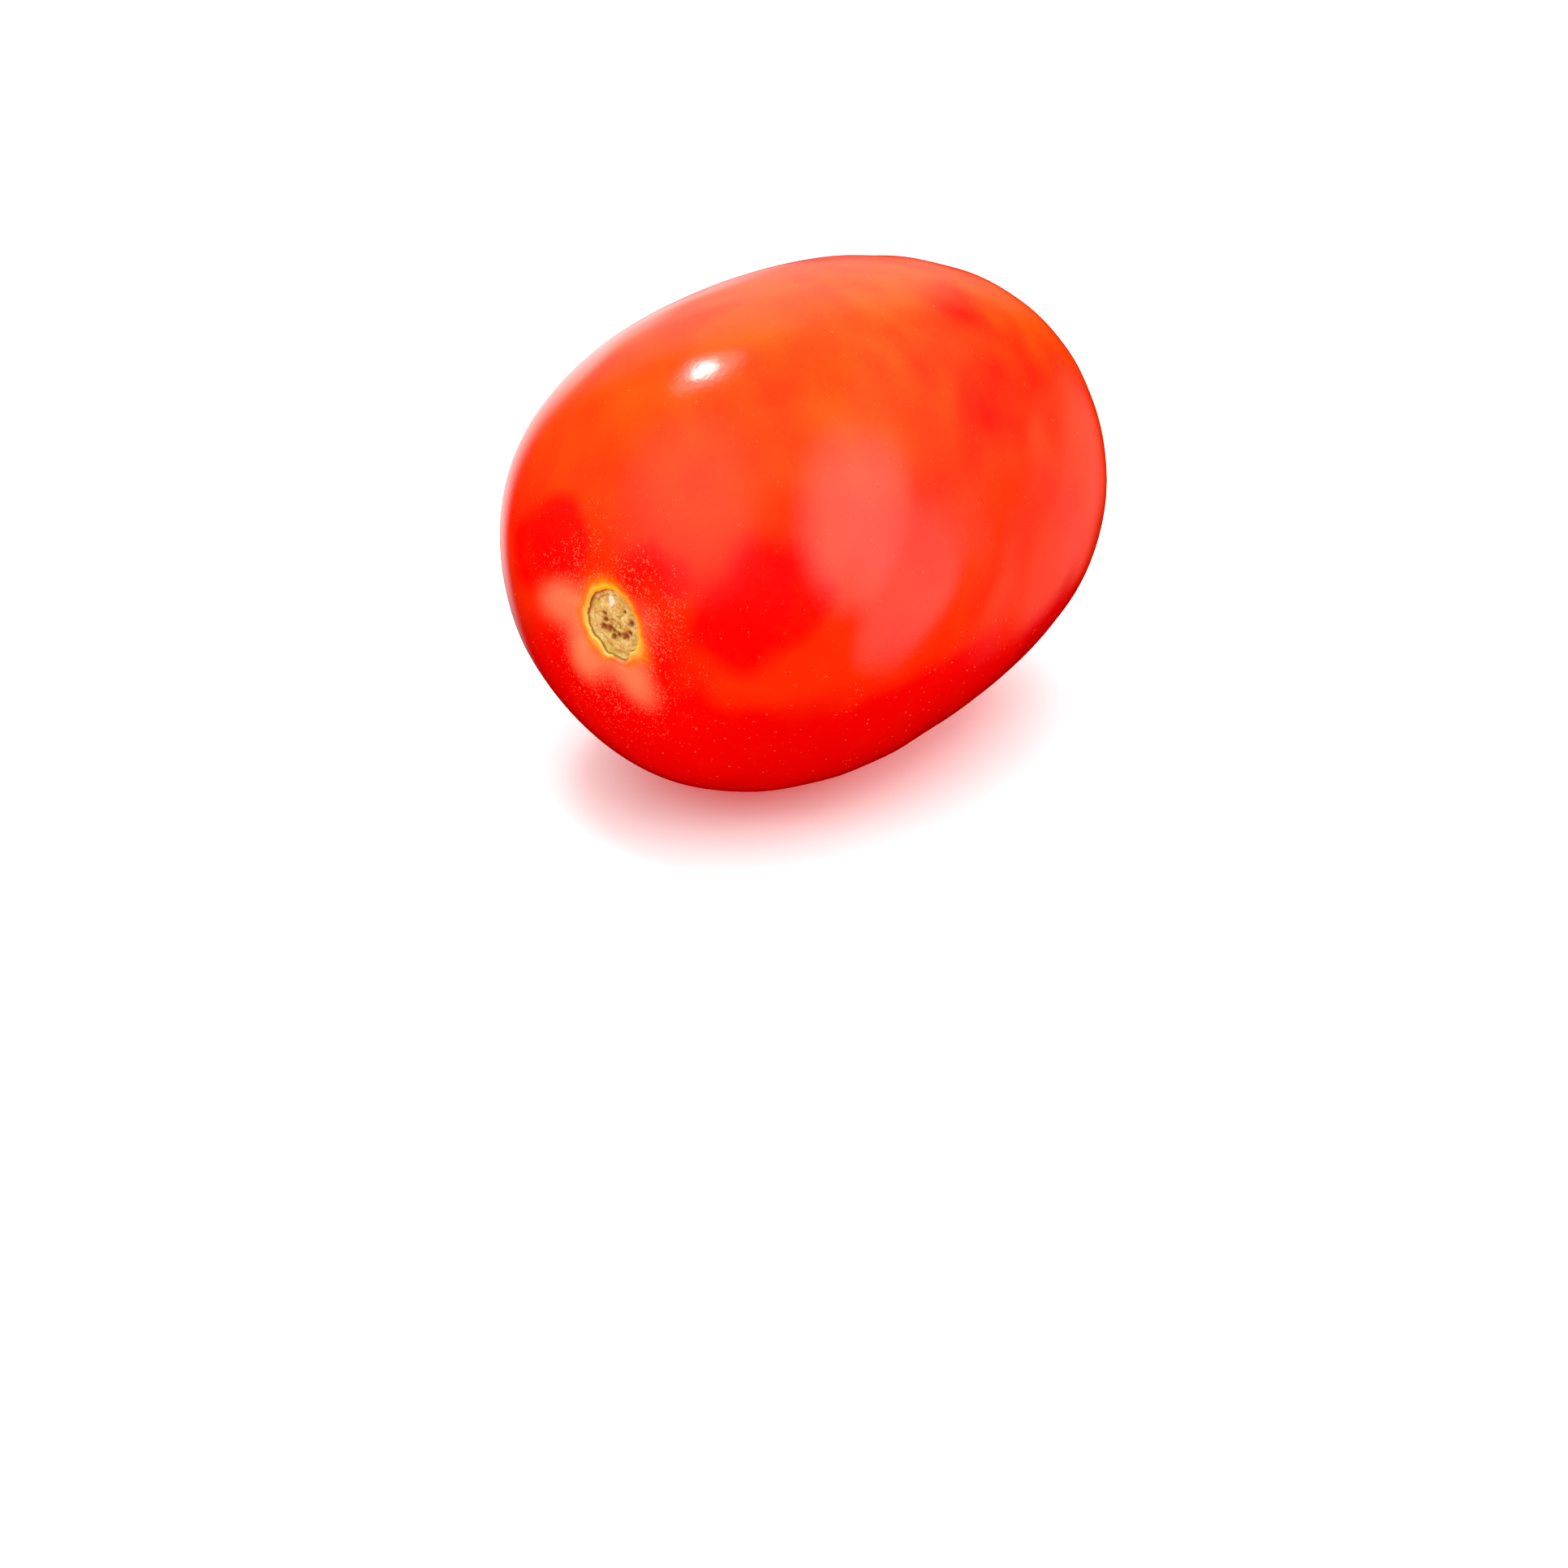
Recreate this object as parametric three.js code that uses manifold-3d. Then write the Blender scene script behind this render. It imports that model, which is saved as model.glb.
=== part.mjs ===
// A plum tomato lying on its side: one closed fruit with a shallow shoulder dimple, a round
// stem scar sunk in the middle of it, a small blossom tip at the other end and a flat rest spot.
//
// Part frame, in millimetres: +Z is up and -Y is the stem end. The origin is on the rest spot,
// straight below the centre of mass.
//
// Fruit frame, in which the skin is drawn: z runs along the core towards the stem, x is the side
// that lies uppermost, and azimuths turn from x to y, anticlockwise as seen from the stem.

import * as THREE from "three";
import { mergeVertices } from "three/addons/utils/BufferGeometryUtils.js";
import Module from "manifold-3d";

// The body of the fruit.
const HALF_LENGTH = 35.6; // middle of the fruit to either end, before dimple and tip
const HALF_WIDTH = 26; // mean half width at the middle
const SHOULDER_SWELL = 2.3; // extra half width that the stem half has over the blossom half
const END_FULLNESS = 6.2; // extra half width that keeps both ends blunt
const BEND = 2.2; // sideways shift of both ends from the middle
const BEND_AZIMUTH = 243; // degrees, the side that the ends lean to
const OVAL = 0.55; // widening of the section across one direction
const OVAL_AZIMUTH = 125; // degrees, that direction
const LOBE = 0.65; // height of the three soft lobes, one for each seed chamber
const LOBE_AZIMUTH = 98.5; // degrees, the first lobe

// The stem end.
const DIMPLE_DEPTH = 0.7;
const DIMPLE_RADIUS = 8;
const SCAR_RADIUS = 3.3;
const SCAR_RIM = 0.35; // width of the step from the skin down to the scar
const SCAR_SINK = 0.3;

// The blossom end.
const TIP_HEIGHT = 0.5;
const TIP_RADIUS = 2.6;

// How it lies.
const STEM_LIFT = 3.7; // degrees that the stem end rises
const REST_SAG = 0.6; // how far the skin flattens where it rests

// Mesh density.
const SEGMENTS = 48;
const BODY_RINGS = 42;
const DIMPLE_RINGS = 5;

const wasm = await Module();
wasm.setup();

// Polar angle at which the skin is a given distance from the core line, near an end.
function polarAngle(distance, endHalfWidth) {
  return Math.asin(distance / endHalfWidth);
}

// Polar angles of the rings, from the stem end to the blossom end, without the two poles.
function ringAngles() {
  const stemWidth = HALF_WIDTH + END_FULLNESS + SHOULDER_SWELL;
  const scar = polarAngle(SCAR_RADIUS, stemWidth);
  const rim = polarAngle(SCAR_RADIUS + SCAR_RIM, stemWidth);
  const dimple = polarAngle(DIMPLE_RADIUS, stemWidth);
  const angles = [scar / 2, scar, rim];
  for (let i = 1; i <= DIMPLE_RINGS; i++) {
    angles.push(rim + ((dimple - rim) * i) / DIMPLE_RINGS);
  }
  for (let i = 1; i <= BODY_RINGS; i++) {
    angles.push(dimple + ((Math.PI - dimple) * i) / (BODY_RINGS + 1));
  }
  return angles;
}

// Distance from the core line: a rounded barrel whose section swells in three lobes.
function skinRadius(polar, azimuth) {
  const along = Math.cos(polar);
  const around = Math.sin(polar);
  const girth = HALF_WIDTH + SHOULDER_SWELL * along + END_FULLNESS * along * along;
  const oval = OVAL * Math.cos(2 * (azimuth - THREE.MathUtils.degToRad(OVAL_AZIMUTH)));
  const lobes = LOBE * Math.cos(3 * (azimuth - THREE.MathUtils.degToRad(LOBE_AZIMUTH)));
  return around * (girth + around * (oval + lobes));
}

// How far the skin at a distance from the core line is sunk at the stem end.
function stemSink(radius) {
  const dimple = DIMPLE_DEPTH * Math.exp(-((radius / DIMPLE_RADIUS) ** 2));
  const inScar = 1 - THREE.MathUtils.smoothstep(radius, SCAR_RADIUS, SCAR_RADIUS + SCAR_RIM);
  return dimple + SCAR_SINK * inScar;
}

// A point of the skin in the fruit frame.
function skinPoint(polar, azimuth) {
  const along = Math.cos(polar);
  const radius = skinRadius(polar, azimuth);
  const lean = BEND * along * along;
  const leanAzimuth = THREE.MathUtils.degToRad(BEND_AZIMUTH);
  const tip = TIP_HEIGHT * Math.exp(-((radius / TIP_RADIUS) ** 2));
  const endShift = along > 0 ? -stemSink(radius) : -tip;
  return new THREE.Vector3(
    radius * Math.cos(azimuth) + lean * Math.cos(leanAzimuth),
    radius * Math.sin(azimuth) + lean * Math.sin(leanAzimuth),
    HALF_LENGTH * along + endShift,
  );
}

// The closed skin: rings of vertices from pole to pole, joined by triangles that face out.
function skinGeometry() {
  const angles = ringAngles();
  const points = [skinPoint(0, 0)];
  for (const polar of angles) {
    for (let j = 0; j < SEGMENTS; j++) {
      points.push(skinPoint(polar, (2 * Math.PI * j) / SEGMENTS));
    }
  }
  points.push(skinPoint(Math.PI, 0));

  const vertex = (ring, j) => 1 + ring * SEGMENTS + (j % SEGMENTS);
  const lastRing = angles.length - 1;
  const lastPoint = points.length - 1;
  const index = [];
  for (let j = 0; j < SEGMENTS; j++) {
    index.push(0, vertex(0, j), vertex(0, j + 1));
    index.push(lastPoint, vertex(lastRing, j + 1), vertex(lastRing, j));
  }
  for (let ring = 0; ring < lastRing; ring++) {
    for (let j = 0; j < SEGMENTS; j++) {
      index.push(vertex(ring, j), vertex(ring + 1, j), vertex(ring + 1, j + 1));
      index.push(vertex(ring, j), vertex(ring + 1, j + 1), vertex(ring, j + 1));
    }
  }
  return new THREE.BufferGeometry().setFromPoints(points).setIndex(index);
}

// Turns the fruit frame into the part frame, with the stem end raised a little.
function layDown(geometry) {
  const lift = THREE.MathUtils.degToRad(STEM_LIFT);
  const top = new THREE.Vector3(0, Math.sin(lift), Math.cos(lift));
  const stem = new THREE.Vector3(0, -Math.cos(lift), Math.sin(lift));
  const side = new THREE.Vector3().crossVectors(stem, top);
  return geometry.applyMatrix4(new THREE.Matrix4().makeBasis(top, side, stem));
}

// Drops the fruit until it reaches a given depth below the surface that it rests on.
function sinkBelowFloor(geometry, depth) {
  geometry.computeBoundingBox();
  return geometry.translate(0, 0, -depth - geometry.boundingBox.min.z);
}

// A manifold-3d solid of a closed geometry.
function toSolid(geometry) {
  const bare = new THREE.BufferGeometry();
  bare.setAttribute("position", geometry.getAttribute("position"));
  bare.setIndex(geometry.getIndex());
  const merged = mergeVertices(bare);
  return new wasm.Manifold(
    new wasm.Mesh({
      numProp: 3,
      vertProperties: new Float32Array(merged.getAttribute("position").array),
      triVerts: new Uint32Array(merged.getIndex().array),
    }),
  );
}

// A geometry of a manifold-3d solid.
function toGeometry(solid) {
  const { vertProperties, triVerts } = solid.getMesh();
  const geometry = new THREE.BufferGeometry();
  geometry.setAttribute("position", new THREE.BufferAttribute(vertProperties, 3));
  geometry.setIndex(new THREE.BufferAttribute(triVerts, 1));
  return geometry;
}

// Cuts off whatever is below the surface, which leaves the flat rest spot.
function cutRestSpot(geometry) {
  const margin = 2 * (HALF_LENGTH + HALF_WIDTH);
  const below = new THREE.BoxGeometry(2 * margin, 2 * margin, margin);
  below.translate(0, 0, -margin / 2);
  return toGeometry(toSolid(geometry).subtract(toSolid(below)));
}

// Centre of mass of a closed geometry, from the tetrahedra between its faces and the origin.
function centreOfMass(geometry) {
  const position = geometry.getAttribute("position");
  const index = geometry.getIndex();
  const centre = new THREE.Vector3();
  const [a, b, c] = [new THREE.Vector3(), new THREE.Vector3(), new THREE.Vector3()];
  let total = 0;
  for (let i = 0; i < index.count; i += 3) {
    a.fromBufferAttribute(position, index.getX(i));
    b.fromBufferAttribute(position, index.getX(i + 1));
    c.fromBufferAttribute(position, index.getX(i + 2));
    const volume = a.dot(new THREE.Vector3().crossVectors(b, c)) / 6;
    centre.addScaledVector(a.clone().add(b).add(c), volume / 4);
    total += volume;
  }
  return centre.divideScalar(total);
}

function tomato() {
  const laid = sinkBelowFloor(layDown(skinGeometry()), REST_SAG);
  const geometry = cutRestSpot(laid);
  const centre = centreOfMass(geometry);
  geometry.translate(-centre.x, -centre.y, 0);
  geometry.computeVertexNormals();
  const skin = new THREE.MeshStandardMaterial({ color: 0xe8150c, roughness: 0.22, metalness: 0 });
  const mesh = new THREE.Mesh(geometry, skin);
  mesh.name = "tomato";
  return mesh;
}

const part = new THREE.Group();
part.add(tomato());

export default part;
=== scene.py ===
"""A ripe plum tomato lying on its side in a pale studio.

The fruit is one closed mesh, drawn in a fruit frame in millimetres: z runs along the core towards
the stem, x is the side that lies uppermost, and angles turn from x to y, anticlockwise as seen
from the stem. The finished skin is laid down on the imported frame, so its place and its size come
from there.
"""

import logging
import math
from collections.abc import Mapping
from dataclasses import dataclass, field
from enum import Enum

import bpy
import numpy as np
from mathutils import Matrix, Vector


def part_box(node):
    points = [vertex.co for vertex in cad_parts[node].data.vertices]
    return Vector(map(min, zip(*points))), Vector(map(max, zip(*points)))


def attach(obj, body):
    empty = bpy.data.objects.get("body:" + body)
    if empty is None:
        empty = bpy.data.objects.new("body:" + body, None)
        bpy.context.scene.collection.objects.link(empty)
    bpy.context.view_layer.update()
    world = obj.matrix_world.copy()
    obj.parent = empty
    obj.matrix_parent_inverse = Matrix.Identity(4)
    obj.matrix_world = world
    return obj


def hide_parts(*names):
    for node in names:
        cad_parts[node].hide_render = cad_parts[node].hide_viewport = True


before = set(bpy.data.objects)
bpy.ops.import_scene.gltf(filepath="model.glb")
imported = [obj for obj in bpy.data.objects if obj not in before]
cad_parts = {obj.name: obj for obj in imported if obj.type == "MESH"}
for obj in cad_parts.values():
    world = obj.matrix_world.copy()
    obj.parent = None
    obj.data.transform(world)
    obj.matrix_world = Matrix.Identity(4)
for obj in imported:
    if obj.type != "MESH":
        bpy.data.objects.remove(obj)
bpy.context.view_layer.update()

LOG = logging.getLogger("tomato")
MILLIMETRE = 0.001
FAR = 60.0  # stands for out of a mark's reach, in millimetres or as a share

Array = np.ndarray
Colour = tuple[float, float, float]


def smoothstep(value: Array, low: float, high: float) -> Array:
    """Rises smoothly from 0 at low to 1 at high."""
    share = np.clip((value - low) / (high - low), 0.0, 1.0)
    return share * share * (3.0 - 2.0 * share)


def hump(value: Array, width: float) -> Array:
    """A bell of height 1 at 0 that has sunk to about a third at width."""
    return np.exp(-((value / width) ** 2))


def turn_between(angle: Array, middle: float) -> Array:
    """The turn in degrees from middle to angle, from -180 to 180; angle is in radians."""
    return (np.degrees(angle) - middle + 180.0) % 360.0 - 180.0


@dataclass(frozen=True)
class Bump:
    """A rise or a dip in something that goes round the scar.

    Attributes:
        angle: Degrees round at which it is highest.
        height: How high it is; below 0 it is a dip.
        width: Degrees from there to where it has sunk to about a third.
    """

    angle: float
    height: float
    width: float

    def at(self, angle: Array) -> Array:
        """Its height at angles in radians."""
        return self.height * hump(turn_between(angle, self.angle), self.width)


@dataclass(frozen=True)
class Ripple:
    """A smooth random field of plane waves that cross.

    Attributes:
        size: Millimetres from crest to crest, about.
        height: How strong the field is, as its standard deviation.
        seed: Picks the waves.
        waves: How many waves cross.
    """

    size: float
    height: float
    seed: int
    waves: int = 20

    def at(self, places: Array) -> Array:
        """The field at places.

        Args:
            places: Points in millimetres, one a row.

        Returns:
            One value for each point.
        """
        chance = np.random.default_rng(self.seed)
        heading = chance.normal(size=(self.waves, 3))
        heading /= np.linalg.norm(heading, axis=1, keepdims=True)
        pitch = 2.0 * math.pi / self.size * chance.uniform(0.7, 1.4, self.waves)
        start = chance.uniform(0.0, 2.0 * math.pi, self.waves)
        crests = np.sin(places @ (heading * pitch[:, None]).T + start)
        return self.height * crests.sum(axis=1) / math.sqrt(self.waves / 2.0)


@dataclass(frozen=True)
class Body:
    """The barrel of the fruit, from the stem end to the blossom end, in millimetres and degrees.

    Attributes:
        half_length: Middle of the fruit to either end, before dimple and tip.
        half_width: Mean half width at the middle.
        shoulder_swell: Extra half width that the stem half has over the blossom half.
        end_fullness: Extra half width that keeps both ends blunt.
        bend: Sideways shift of both ends from the middle.
        bend_angle: The side that the ends lean to.
        oval: Widening of the section across one direction.
        oval_angle: That direction.
        lobe: Height of the three soft lobes, one for each seed chamber.
        lobe_angle: The first lobe.
        dimple_depth: How deep the dimple at the stem is.
        dimple_radius: How wide it is.
        tip_height: How far the blossom tip sticks out.
        tip_radius: How wide it is.
    """

    half_length: float = 35.6
    half_width: float = 26.0
    shoulder_swell: float = 2.3
    end_fullness: float = 6.2
    bend: float = 2.2
    bend_angle: float = 243.0
    oval: float = 0.55
    oval_angle: float = 125.0
    lobe: float = 0.65
    lobe_angle: float = 98.5
    dimple_depth: float = 0.7
    dimple_radius: float = 8.0
    tip_height: float = 0.5
    tip_radius: float = 2.6

    @property
    def end_width(self) -> float:
        """Half width of the round cap that the stem end comes close to."""
        return self.half_width + self.shoulder_swell + self.end_fullness

    def straight(self, polar: Array, turn: Array) -> Array:
        """Points of the skin before the fruit is bent.

        Args:
            polar: Angles from the stem end, in radians.
            turn: Angles round the core, in radians.

        Returns:
            One point a row.
        """
        along, around = np.cos(polar), np.sin(polar)
        girth = self.half_width + self.shoulder_swell * along + self.end_fullness * along**2
        oval = self.oval * np.cos(2.0 * (turn - math.radians(self.oval_angle)))
        lobes = self.lobe * np.cos(3.0 * (turn - math.radians(self.lobe_angle)))
        radius = around * (girth + around * (oval + lobes))
        dimple = -self.dimple_depth * hump(radius, self.dimple_radius)
        tip = -self.tip_height * hump(radius, self.tip_radius)
        height = self.half_length * along + np.where(along > 0.0, dimple, tip)
        return np.stack([radius * np.cos(turn), radius * np.sin(turn), height], axis=-1)

    def bent(self, polar: Array, turn: Array) -> Array:
        """The same points with both ends leaning to one side.

        Args:
            polar: Angles from the stem end, in radians.
            turn: Angles round the core, in radians.

        Returns:
            One point a row.
        """
        points = self.straight(polar, turn)
        lean = self.bend * np.cos(polar) ** 2
        points[..., 0] += lean * math.cos(math.radians(self.bend_angle))
        points[..., 1] += lean * math.sin(math.radians(self.bend_angle))
        return points

    def normals(self, polar: Array, turn: Array, step: float = 1e-4) -> Array:
        """Outward unit normals of the bent skin.

        Args:
            polar: Angles from the stem end, in radians.
            turn: Angles round the core, in radians.
            step: Half the angle over which the slopes are taken.

        Returns:
            One normal a row.
        """
        clear = 20.0 * step  # no slope is taken nearer a pole than this
        inside = np.clip(polar, clear, math.pi - clear)
        down = self.bent(inside + step, turn) - self.bent(inside - step, turn)
        round_core = self.bent(inside, turn + step) - self.bent(inside, turn - step)
        normal = np.cross(down, round_core)
        return normal / np.linalg.norm(normal, axis=-1, keepdims=True)


@dataclass(frozen=True)
class Pit:
    """A hollow in the scar where a vessel of the stem ran into the fruit.

    Attributes:
        angle: Degrees round the scar's middle.
        reach: Millimetres from the scar's middle.
        width: Millimetres from its own middle to where it has nearly gone.
        depth: How deep it is, in millimetres.
    """

    angle: float
    reach: float
    width: float
    depth: float


@dataclass(frozen=True)
class StemScar:
    """The corky scar that the stem left, in millimetres and degrees round its own middle.

    Attributes:
        middle: Where its middle is in the fruit frame.
        radius: Distance from the middle to the edge, on average.
        stretch: How much longer than that it is along its long axis.
        stretch_angle: Where the long axis points.
        edge_bumps: Where the edge sticks out or is notched.
        sink: How far its edge lies below the skin.
        dome: How far its middle rises above its edge.
        lip: How high the skin swells round it.
        groove: Where the groove inside the edge runs, as a share of the way out.
        pits: Its hollows.
        flake_angle: Where the loose splinter lies.
        flake_reach: How far out the splinter lies.
        flake_length: Half the splinter's length.
        flake_width: Half the splinter's width.
    """

    middle: tuple[float, float] = (-1.1, 0.9)
    radius: float = 3.28
    stretch: float = 0.28
    stretch_angle: float = 28.0
    edge_bumps: tuple[Bump, ...] = (
        Bump(104.0, 0.18, 16.0),
        Bump(147.0, -0.30, 13.0),
        Bump(203.0, 0.34, 11.314),
        Bump(222.0, -0.16, 5.0),
    )
    sink: float = 0.34
    dome: float = 0.16
    lip: float = 0.16
    groove: float = 0.80
    pits: tuple[Pit, ...] = (
        Pit(62.0, 1.50, 0.26, 0.24),
        Pit(88.0, 1.22, 0.30, 0.30),
        Pit(118.0, 1.62, 0.40, 0.40),
        Pit(138.0, 1.08, 0.42, 0.50),
        Pit(165.0, 0.90, 0.28, 0.34),
        Pit(176.0, 1.50, 0.34, 0.34),
        Pit(206.0, 1.25, 0.28, 0.28),
        Pit(228.0, 1.75, 0.42, 0.40),
        Pit(250.0, 1.95, 0.30, 0.30),
        Pit(282.0, 2.00, 0.34, 0.36),
        Pit(322.0, 1.80, 0.18, 0.18),
    )
    flake_angle: float = 12.0
    flake_reach: float = 2.3
    flake_length: float = 0.70
    flake_width: float = 0.36

    def outline(self, angle: Array) -> Array:
        """Distance from the middle to the scalloped edge.

        Args:
            angle: Angles round the scar's middle, in radians.

        Returns:
            One distance for each angle.
        """
        oval = self.stretch * np.cos(2.0 * (angle - math.radians(self.stretch_angle)))
        scallops = 0.05 * np.sin(9.0 * angle + 0.6) + 0.035 * np.sin(17.0 * angle + 2.0)
        fine = 0.02 * np.sin(31.0 * angle) * np.sin(3.0 * angle + 1.0)
        bumps = sum(bump.at(angle) for bump in self.edge_bumps)
        return self.radius + oval + scallops + fine + bumps

    def pit_mask(self, across: Array) -> Array:
        """How deep in a pit points of the scar are, from 0 to 1.

        Args:
            across: Places from the scar's middle, two numbers a row.

        Returns:
            One share for each point.
        """
        mask = np.zeros(len(across))
        for pit in self.pits:
            centre = pit.reach * self.heading(pit.angle)
            away = np.linalg.norm(across - centre, axis=1)
            mask = np.maximum(mask, hump(away, pit.width))
        return mask

    def flake_mask(self, across: Array) -> Array:
        """Where the loose pale splinter lies, from 0 to 1.

        Args:
            across: Places from the scar's middle, two numbers a row.

        Returns:
            One share for each point.
        """
        along = self.heading(self.flake_angle)
        offset = across - self.flake_reach * along
        length = offset @ along
        width = offset @ np.array([-along[1], along[0]])
        taper = np.clip(1.0 - (length / self.flake_length) ** 2, 0.02, 1.0)
        ends = smoothstep(taper, 0.02, 0.2)
        return np.clip(1.4 * hump(width, self.flake_width * taper) * ends, 0.0, 1.0)

    @staticmethod
    def heading(degrees: float) -> Array:
        """The unit vector at an angle."""
        return np.array([math.cos(math.radians(degrees)), math.sin(math.radians(degrees))])

    def relief(self, across: Array, share: Array) -> Array:
        """How far the scar and its lip stand out of the smooth skin.

        Args:
            across: Places from the scar's middle, two numbers a row.
            share: Distance from the middle as a share of the distance to the edge.

        Returns:
            One height for each point.
        """
        inside = 1.0 - smoothstep(share, 0.93, 1.0)
        flat = np.column_stack([across, np.zeros(len(across))])
        cork = self.dome * (1.0 - share**2) - self.sink
        cork += Ripple(1.5, 0.035, 3).at(flat) + Ripple(0.5, 0.022, 4).at(flat)
        cork -= 0.07 * hump(share - self.groove, 0.035)
        for pit in self.pits:
            away = np.linalg.norm(across - pit.reach * self.heading(pit.angle), axis=1)
            cork -= pit.depth * 0.8 * hump(away, pit.width)
        cork += 0.16 * self.flake_mask(across)
        lip = self.lip * hump(share - 1.07, 0.07) + 0.10 * hump(share - 1.25, 0.2)
        return inside * cork + (1.0 - inside) * lip


@dataclass(frozen=True)
class SepalMark:
    """A pale patch of skin that one sepal shaded.

    Attributes:
        angle: Degrees round the scar's middle at which it starts.
        sweep: Degrees that it turns on its way out.
        length: Millimetres from the scar's middle to its end.
        width: Half its width, in millimetres.
        strength: How pale it is.
    """

    angle: float
    sweep: float
    length: float
    width: float
    strength: float

    def mask(self, angle: Array, reach: Array) -> Array:
        """How strong the mark is.

        Args:
            angle: Angles round the scar's middle, in radians.
            reach: Distances from the scar's middle.

        Returns:
            One share for each point.
        """
        way = np.clip(reach / self.length, 0.0, 1.0)
        aside = np.radians(turn_between(angle - np.radians(self.sweep) * way, self.angle)) * reach
        fade = 1.0 - smoothstep(reach, 0.55 * self.length, 1.1 * self.length)
        return self.strength * hump(aside, self.width) * fade * smoothstep(reach, 2.0, 4.2)


@dataclass(frozen=True)
class RedPatch:
    """A patch of skin that has ripened more or less than the skin round it.

    Attributes:
        place: Its middle on the straight fruit.
        radius: Millimetres from there to its soft edge.
        strength: How much redder it is; below 0 it is more orange.
    """

    place: tuple[float, float, float]
    radius: float
    strength: float = 1.0

    def share(self, places: Array, wander: Array) -> Array:
        """How far points of the skin are inside it.

        Args:
            places: Points of the straight fruit, one a row.
            wander: Millimetres by which its edge strays at each point.

        Returns:
            One share for each point.
        """
        away = np.linalg.norm(places - np.array(self.place), axis=1) + wander
        return 1.0 - smoothstep(away, 0.45 * self.radius, 1.22 * self.radius)


@dataclass(frozen=True)
class SpeckleBand:
    """A stretch round the scar where fine pale specks gather.

    Attributes:
        spread: How many specks there are, from 0 to 1, and which way they lie.
        reach: Millimetres from the scar's middle to the thick of them.
        width: Millimetres from there to where they have thinned to about a third.
    """

    spread: Bump
    reach: float
    width: float

    def share(self, angle: Array, reach: Array) -> Array:
        """How many specks it adds at angles in radians and at distances in millimetres."""
        return self.spread.at(angle) * hump(reach - self.reach, self.width)


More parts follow.
